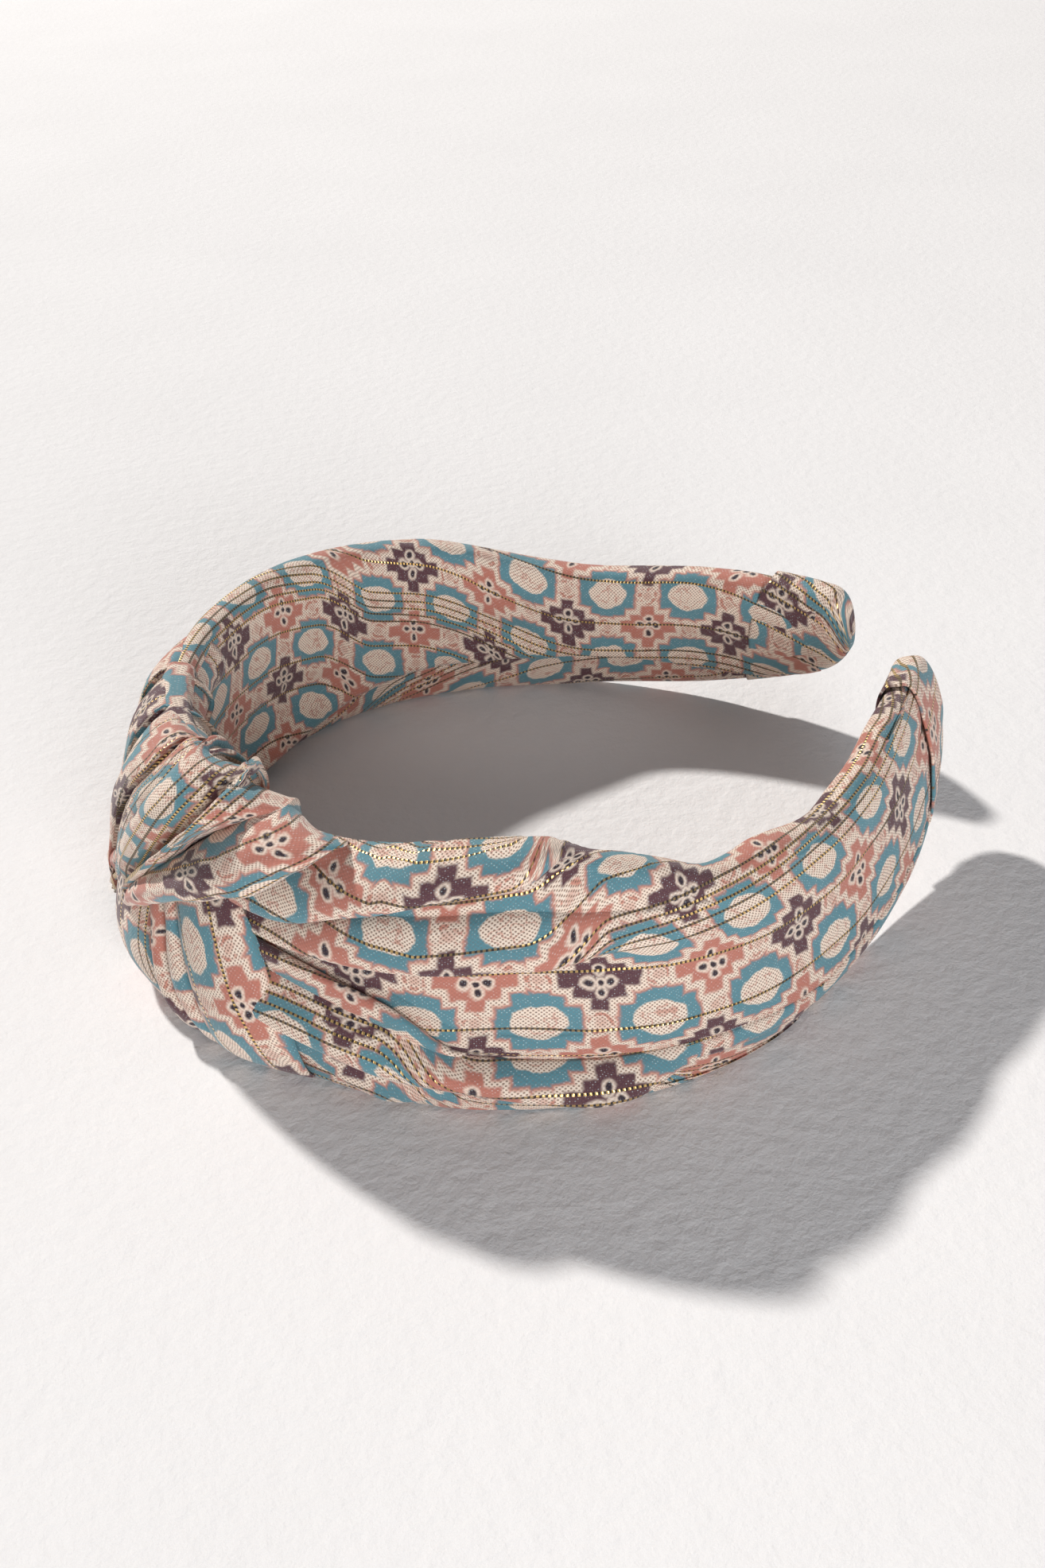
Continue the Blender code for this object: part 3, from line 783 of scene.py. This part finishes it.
def foam_pad(name, start, stop, mat):
    """Plump oval pad inside the cloth, from start to stop along the band."""
    lines, uvs = [], []
    angles = np.linspace(0, 2 * math.pi, 40)
    for t in np.linspace(0, 1, 60):
        s = start + (stop - start) * t
        ring = outline(s)
        plump = math.sqrt(max(1 - abs(2 * t - 1)**PAD_END, 0.0)) * PAD_SHARE
        out = np.interp(angles, RING_ANGLES, ring[1]) * plump
        up = np.interp(angles, RING_ANGLES, ring[2]) * plump
        lines.append(on_band(np.full_like(out, s), out, up))
        uvs.append(np.stack([np.full_like(out, s), angles * 0.01], -1))
    pad = grid_mesh(name, np.array(lines), np.array(uvs), mat)
    work = bmesh.new()
    work.from_mesh(pad.data)
    bmesh.ops.remove_doubles(work, verts=work.verts, dist=WELD)
    bmesh.ops.recalc_face_normals(work, faces=work.faces)
    work.to_mesh(pad.data)
    work.free()
    return pad


STITCH_PITCH = 3.4 * MM
STITCH_HALF_LENGTH = 0.9 * MM
STITCH_RISE = 0.5 * MM
STITCH_INSET = 0.6 * MM
STITCH_SINK = 0.62 * MM
THREAD_RADIUS = 0.13 * MM
THREAD_SIDES = 8
THREAD_RINGS = 7


def stitches(name, start, stop, mat):
    """Row of slip stitches along the lap on the inner face."""
    spots = np.arange(start, stop, STITCH_PITCH)
    verts, faces = [], []
    turns = np.linspace(0, 2 * math.pi, THREAD_SIDES + 1)[:-1]
    for spot in spots:
        base = len(verts)
        for t in np.linspace(-1, 1, THREAD_RINGS):
            s = spot + t * STITCH_HALF_LENGTH
            ring = outline(s)
            half_ring = float(np.interp(0.5 * math.pi, RING_ANGLES, ring[0]))
            share = abs(s) / HALF_LENGTH
            lap_place = half_ring * (1 + float(smooth(UPPER_FLAP, share)[0, 0]))
            place = lap_place - STITCH_INSET + t * STITCH_RISE
            out = float(np.interp(place, ring[0], ring[1]))
            up = float(np.interp(place, ring[0], ring[2]))
            sink = LAP_STEP + STITCH_SINK - STITCH_RISE * t * t
            middle, outward, upward = band_axes(np.array(s))
            centre = middle + outward * (out - sink) + upward * up
            for turn in turns:
                spoke = outward * math.cos(turn) + upward * math.sin(turn)
                verts.append(centre + spoke * THREAD_RADIUS)
        for k in range(THREAD_RINGS - 1):
            for j in range(THREAD_SIDES):
                a = base + k * THREAD_SIDES + j
                b = base + k * THREAD_SIDES + (j + 1) % THREAD_SIDES
                faces.append((a, b, b + THREAD_SIDES, a + THREAD_SIDES))
        last = base + (THREAD_RINGS - 1) * THREAD_SIDES
        faces.append(tuple(base + j for j in range(THREAD_SIDES))[::-1])
        faces.append(tuple(last + j for j in range(THREAD_SIDES)))
    mesh = bpy.data.meshes.new(name)
    mesh.from_pydata([tuple(v) for v in verts], [], faces)
    mesh.materials.append(mat)
    mesh.shade_smooth()
    obj = bpy.data.objects.new(name, mesh)
    bpy.context.scene.collection.objects.link(obj)
    return obj


def plain_material(name, colour, other, size, rough, bump_size, bump_strength):
    """Two close colours in soft patches, with a fine grain."""
    mat = bpy.data.materials.new(name)
    mat.use_nodes = True
    tree = mat.node_tree
    shader = tree.nodes["Principled BSDF"]
    place = tree.nodes.new("ShaderNodeTexCoord")
    noise = tree.nodes.new("ShaderNodeTexNoise")
    noise.inputs["Scale"].default_value = size
    noise.inputs["Detail"].default_value = 4.0
    tree.links.new(place.outputs["Object"], noise.inputs["Vector"])
    mix = tree.nodes.new("ShaderNodeMix")
    mix.data_type = "RGBA"
    mix.inputs[6].default_value = colour
    mix.inputs[7].default_value = other
    tree.links.new(noise.outputs[0], mix.inputs[0])
    tree.links.new(mix.outputs[2], shader.inputs["Base Color"])
    shader.inputs["Roughness"].default_value = rough
    fine = tree.nodes.new("ShaderNodeTexNoise")
    fine.inputs["Scale"].default_value = bump_size
    fine.inputs["Detail"].default_value = 6.0
    fine.inputs["Roughness"].default_value = 0.65
    tree.links.new(place.outputs["Object"], fine.inputs["Vector"])
    bump = tree.nodes.new("ShaderNodeBump")
    bump.inputs["Distance"].default_value = MM
    bump.inputs["Strength"].default_value = bump_strength
    tree.links.new(fine.outputs[0], bump.inputs["Height"])
    tree.links.new(bump.outputs[0], shader.inputs["Normal"])
    return mat


# --- build ---------------------------------------------------------------------------------------
TIP_START = 176 * MM
TIP_END = 199 * MM
TIP_SLANT = 6 * MM
WRAP_HALF = 22 * MM
WRAP_OFFSET = 0.9 * MM
CROWN_END = 54 * MM
ARM_START = 58 * MM
PAD_STOP = 186 * MM
FAR_PRESS = 0.78

cloth = printed_cloth("printed_cloth_near", 0.0)
right_sleeve = sleeve("right_sleeve_cloth", -1, RIGHT_PLEATS, cloth, (89.2, 0), 11, 3)
left_sleeve = sleeve("left_sleeve_cloth", 1, LEFT_PLEATS, cloth, (84.0, 24), 12, 3)
crown_wrap = wrap("crown_wrap_cloth", 1, -WRAP_HALF, WRAP_HALF, WRAP_OFFSET, cloth, (4, 30), 13)
fan = strip("right_loop_fan", FAN_RAILS, FAN_PANELS, cloth, (8, 0), 14)
under = strip("right_loop_under_pleats", UNDER_RAILS, UNDER_PANELS, cloth, (6.8, 0), 15)
far_fan = strip("left_loop_fan", turned(FAN_RAILS[1:], FAR_PRESS), FAN_PANELS[1:], cloth, (8, 0), 16)
far_folds = strip("left_loop_under_pleats", LEFT_FOLD_RAILS, LEFT_FOLD_PANELS, cloth, (4, 0), 17)
caps = {}
for side, body in BODIES.items():
    caps[side] = wrap(f"{body}_tip_cloth", side, TIP_START, TIP_END, WRAP_OFFSET, cloth, (92, 3),
                      18 + side, slant=TIP_SLANT, closed=True)

foam = plain_material("pad_foam_fine", srgb(236, 232, 224), srgb(222, 216, 204), 90, 0.9, 900, 0.5)
pads = {
    "padding_crown": foam_pad("crown_pad", -CROWN_END, CROWN_END, foam),
    "padding_left_arm": foam_pad("left_arm_pad", ARM_START, PAD_STOP, foam),
    "padding_right_arm": foam_pad("right_arm_pad", -PAD_STOP, -ARM_START, foam),
}
thread = plain_material("sewing_thread_fine", srgb(206, 176, 160), srgb(176, 150, 140),
                        800, 0.6, 5000, 0.5)
rows = {
    "crown_lap_thread": stitches("crown_lap_stitches", -CROWN_END, CROWN_END, thread),
    "left_lap_thread": stitches("left_arm_lap_stitches", ARM_START, TIP_START, thread),
    "right_lap_thread": stitches("right_arm_lap_stitches", -TIP_START, -ARM_START, thread),
}
plastic = plain_material("hoop_plastic_fine", srgb(228, 226, 220), srgb(214, 210, 202),
                         60, 0.42, 500, 0.12)
for node in ("hoop_crown", "hoop_left_arm", "hoop_right_arm"):
    for material_slot in bpy.data.objects[node].material_slots:
        material_slot.material = plastic

# --- which body each piece rides on --------------------------------------------------------------
for side, piece in ((1, left_sleeve), (-1, right_sleeve)):
    start = on_band(np.array(side * (FLEX_S - BLEND_REACH)), np.array(0.0), np.array(0.0))
    stop = on_band(np.array(side * (FLEX_S + BLEND_REACH)), np.array(0.0), np.array(0.0))
    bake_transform(piece)
    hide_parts(BODIES[side].replace("_arm", "_sleeve"))
    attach(caps[side], BODIES[side])
    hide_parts(BODIES[side].replace("_arm", "_tip_cap"))
for piece, node in ((crown_wrap, "crown_sleeve"), (fan, "knot_right_loop"), (under, "knot_right_loop"),
                    (far_fan, "knot_left_loop"), (far_folds, "knot_left_loop")):
    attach(piece, "crown")
    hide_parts(node)
for node, piece in (*pads.items(), *rows.items()):
    body = "crown" if "crown" in node else ("left_arm" if "left" in node else "right_arm")
    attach(piece, body)
    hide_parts(node)


# --- floor, light and camera ---------------------------------------------------------------------
AIM = np.array([10.2, -1.8, 20.58]) * MM
DISTANCE = 319.5 * MM
ELEVATION = math.radians(34.06)
AROUND = math.radians(23.05)
PAN = math.radians(-1.91)
TILT = math.radians(-0.74)
SENSOR_HEIGHT = 36
LENS = 38.03
FLOOR_HALF = 3.0
KEY_PLACE = (-1.9, 5.0, 4.55)
FILL_PLACE = (-0.05, -1.5, 0.42)
LIT_POINT = (0, 0, 0.02)


def floor_material():
    mat = plain_material("pale_plaster", srgb(243, 241, 241), srgb(236, 234, 234), 14, 0.95, 260, 0.5)
    mat.node_tree.nodes["Principled BSDF"].inputs["Specular IOR Level"].default_value = 0.05
    return mat


def make_floor():
    mesh = bpy.data.meshes.new("floor")
    signs = ((-1, -1), (1, -1), (1, 1), (-1, 1))
    mesh.from_pydata([(x * FLOOR_HALF, y * FLOOR_HALF, 0) for x, y in signs], [], [(0, 1, 2, 3)])
    mesh.materials.append(floor_material())
    obj = bpy.data.objects.new("floor", mesh)
    bpy.context.scene.collection.objects.link(obj)
    return obj


def area_light(name, place, aim, size, power, colour):
    data = bpy.data.lights.new(name, "AREA")
    data.shape = "DISK"
    data.size = size
    data.energy = power
    data.color = colour
    obj = bpy.data.objects.new(name, data)
    obj.location = place
    obj.rotation_euler = (Vector(aim) - Vector(place)).to_track_quat("-Z", "Y").to_euler()
    bpy.context.scene.collection.objects.link(obj)


def make_camera():
    cos, sin = math.cos(AROUND), math.sin(AROUND)
    turn = np.array([[cos, sin, 0], [-sin, cos, 0], [0, 0, 1]])
    place = turn @ np.array([0, -DISTANCE * math.cos(ELEVATION), DISTANCE * math.sin(ELEVATION)]) + AIM
    forward = turn @ np.array([0, math.cos(ELEVATION), -math.sin(ELEVATION)])
    right = turn @ np.array([1.0, 0, 0])
    upward = np.cross(right, forward)
    panned = forward * math.cos(PAN) + right * math.sin(PAN)
    right = right * math.cos(PAN) - forward * math.sin(PAN)
    forward = panned * math.cos(TILT) + upward * math.sin(TILT)
    upward = np.cross(right, forward)
    data = bpy.data.cameras.new("camera")
    data.sensor_fit = "VERTICAL"
    data.sensor_height = SENSOR_HEIGHT
    data.lens = LENS
    data.clip_start = 0.01
    data.clip_end = 20
    obj = bpy.data.objects.new("camera", data)
    frame_axes = np.stack([right, upward, -forward], 1)
    matrix = Matrix(frame_axes.tolist()).to_4x4()
    matrix.translation = Vector(place.tolist())
    obj.matrix_world = matrix
    bpy.context.scene.collection.objects.link(obj)
    bpy.context.scene.camera = obj


floor = make_floor()
area_light("key_light", KEY_PLACE, LIT_POINT, 0.42, 535, (1.0, 0.975, 0.94))
area_light("fill_light", FILL_PLACE, LIT_POINT, 0.7, 16, (0.97, 0.98, 1.0))
make_camera()
world = bpy.data.worlds.new("studio")
world.use_nodes = True
world.node_tree.nodes["Background"].inputs["Color"].default_value = (0.96, 0.97, 1.0, 1.0)
world.node_tree.nodes["Background"].inputs["Strength"].default_value = 0.185
bpy.context.scene.world = world
bpy.context.scene.view_settings.view_transform = "Standard"
